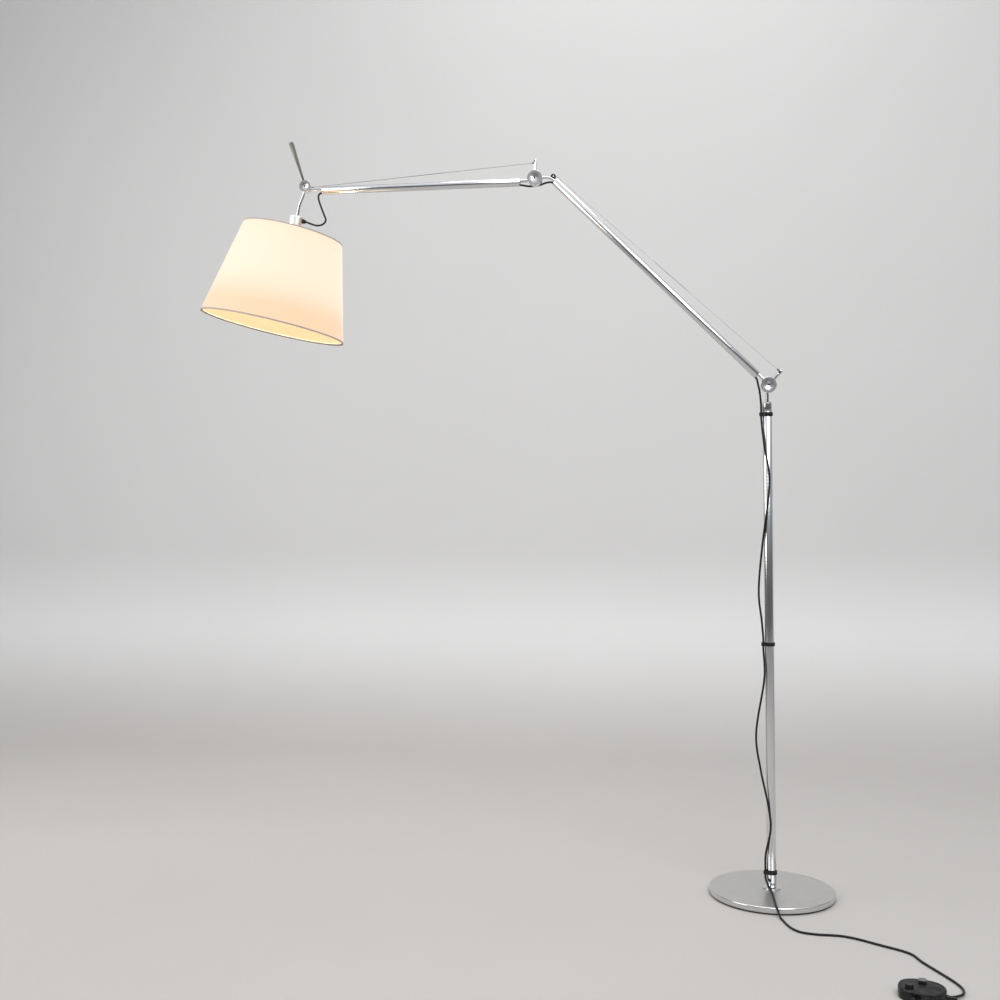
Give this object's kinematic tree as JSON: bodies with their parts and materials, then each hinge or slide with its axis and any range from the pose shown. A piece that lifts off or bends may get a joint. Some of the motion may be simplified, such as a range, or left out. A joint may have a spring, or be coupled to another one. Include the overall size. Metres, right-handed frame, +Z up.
{
  "type": "floor lamp",
  "caption": "Adjustable floor lamp: round weighted base, pole, two spring-balanced arms with joint discs, tilting head, conical shade, cord with foot dimmer and plug",
  "frame": {"origin": "on the floor under the middle of the round base, on the pole axis", "axes": "+Z up the pole; the two arms reach towards -X in the XZ plane at rest; -Y is the side of the joint discs that face the viewer"},
  "size_m": [1.9747, 0.9994, 2.1253],
  "materials": {
    "foot_rubber": "matte moulded",
    "inner_steel": "ground",
    "satin_aluminium": "satin anodised",
    "polished_aluminium": "polished",
    "turned_aluminium": "bright turned",
    "flange_chrome": "mirror",
    "handle_metal": "dark satin",
    "black_steel": "black oxide",
    "black_plastic": "fine matte",
    "key_grey": "fine matte",
    "white_plastic": "moulded",
    "board_green": "lacquered",
    "frame_white": "white enamel",
    "shade_cloth": "laminated weave",
    "bulb_opal": "opal",
    "cord_black": "satin sheath"
  },
  "bodies": {
    "stand": {"foot_pad": "foot_rubber", "base_weight": "inner_steel", "base_cover": "satin_aluminium", "base_bolt": "inner_steel", "pole_foot": "flange_chrome", "pole_tube": "polished_aluminium", "pole_top_sleeve": "polished_aluminium", "swivel_bush": "black_plastic", "cord_clip_top": "black_plastic", "cord_clip_middle": "black_plastic", "cord_clip_bottom": "black_plastic", "dimmer_tray": "black_plastic", "dimmer_cover": "black_plastic", "dimmer_board": "board_green", "lamp_cord": "cord_black", "supply_cord": "cord_black", "supply_cord_coil": "cord_black", "supply_plug": "black_plastic"},
    "swivel_head": {"swivel_stem": "polished_aluminium", "swivel_disc": "turned_aluminium", "lower_pivot_bolt": "black_steel", "lower_friction_washer": "black_plastic", "lower_lever": "polished_aluminium", "lower_lever_pin": "black_steel", "post_cable": "cord_black"},
    "lower_arm": {"lower_arm_foot": "turned_aluminium", "lower_arm_tube": "polished_aluminium", "lower_arm_spring": "inner_steel", "elbow_bracket": "turned_aluminium", "upper_lever": "polished_aluminium", "upper_lever_pin": "black_steel", "elbow_pivot_bolt": "black_steel", "elbow_friction_washer": "black_plastic", "elbow_cable": "cord_black"},
    "lower_roller": {"lower_roller": "black_plastic"},
    "lower_wire": {"lower_tension_wire": "inner_steel"},
    "upper_arm": {"upper_arm_foot": "turned_aluminium", "upper_arm_tube": "polished_aluminium", "upper_arm_spring": "inner_steel", "head_bracket": "turned_aluminium", "head_cable": "cord_black"},
    "upper_roller": {"upper_roller": "black_plastic"},
    "upper_wire": {"upper_tension_wire": "inner_steel"},
    "head": {"head_disc": "turned_aluminium", "head_stem": "polished_aluminium", "head_handle": "handle_metal", "head_pivot_bolt": "black_steel", "head_friction_washer": "black_plastic"},
    "lamp_holder": {"holder_cap": "satin_aluminium", "cable_gland": "black_plastic", "lamp_socket": "white_plastic", "bulb_base": "polished_aluminium", "bulb_glass": "bulb_opal", "shade_carrier": "frame_white", "carrier_nut": "white_plastic", "shade_bottom_ring": "frame_white", "lamp_shade": "shade_cloth"},
    "dimmer_dial": {"dimmer_dial": "black_plastic"},
    "dimmer_key": {"dimmer_key": "key_grey"}
  },
  "joints": [
    {"name": "swivel_joint", "type": "hinge", "parent": "stand", "child": "swivel_head", "pos_m": [0, 0, 1.327], "axis": [0, 0, 1], "range_deg": [-150, 150]},
    {"name": "lower_arm_hinge", "type": "hinge", "parent": "swivel_head", "child": "lower_arm", "pos_m": [0.004, 0, 1.375], "axis": [0, 1, 0], "range_deg": [-35, 40], "deforming": ["post_cable", "lower_tension_wire"]},
    {"name": "elbow_hinge", "type": "hinge", "parent": "lower_arm", "child": "upper_arm", "pos_m": [-0.635, 0, 1.978], "axis": [0, 1, 0], "range_deg": [-55, 55], "deforming": ["elbow_cable", "upper_tension_wire"]},
    {"name": "head_tilt", "type": "hinge", "parent": "upper_arm", "child": "head", "pos_m": [-1.31331, 0, 1.99166], "axis": [0, 1, 0], "range_deg": [-30, 60], "deforming": ["head_cable"]},
    {"name": "shade_swivel", "type": "hinge", "parent": "head", "child": "lamp_holder", "pos_m": [-1.3382, -0.0106, 1.9027], "axis": [0.2227, 0, 0.9749], "range_deg": [-80, 80], "deforming": ["head_cable"]},
    {"name": "lower_wire_slide", "type": "slide", "parent": "lower_arm", "child": "lower_wire", "axis": [-0.7298, 0, 0.6836], "range_m": [-0.028, 0.032]},
    {"name": "lower_roller_spin", "type": "hinge", "parent": "lower_arm", "child": "lower_roller", "pos_m": [-0.58227, -0.0106, 1.97797], "axis": [0, -1, 0], "range_deg": [-220, 250]},
    {"name": "upper_wire_slide", "type": "slide", "parent": "upper_arm", "child": "upper_wire", "axis": [-0.9988, 0.011, -0.0477], "range_m": [-0.04, 0.04]},
    {"name": "upper_roller_spin", "type": "hinge", "parent": "upper_arm", "child": "upper_roller", "pos_m": [-1.298, 0.0073, 1.9883], "axis": [0, -1, 0], "range_deg": [-500, 500]},
    {"name": "dial_turn", "type": "hinge", "parent": "stand", "child": "dimmer_dial", "pos_m": [0.23473, -0.64101, 0.025], "axis": [0, 0, -1], "range_deg": [-135, 135]},
    {"name": "key_press", "type": "slide", "parent": "stand", "child": "dimmer_key", "axis": [0, 0, -1], "range_m": [0, 0.0025], "stiffness_N_per_m": 400}
  ],
  "couplings": [
    {"joint": "lower_wire_slide", "follows": "lower_arm_hinge", "m_per_rad": 0.0431},
    {"joint": "lower_roller_spin", "follows": "lower_arm_hinge", "ratio": 5.9},
    {"joint": "upper_wire_slide", "follows": "elbow_hinge", "m_per_rad": 0.0396},
    {"joint": "upper_roller_spin", "follows": "elbow_hinge", "ratio": 8.9}
  ]
}
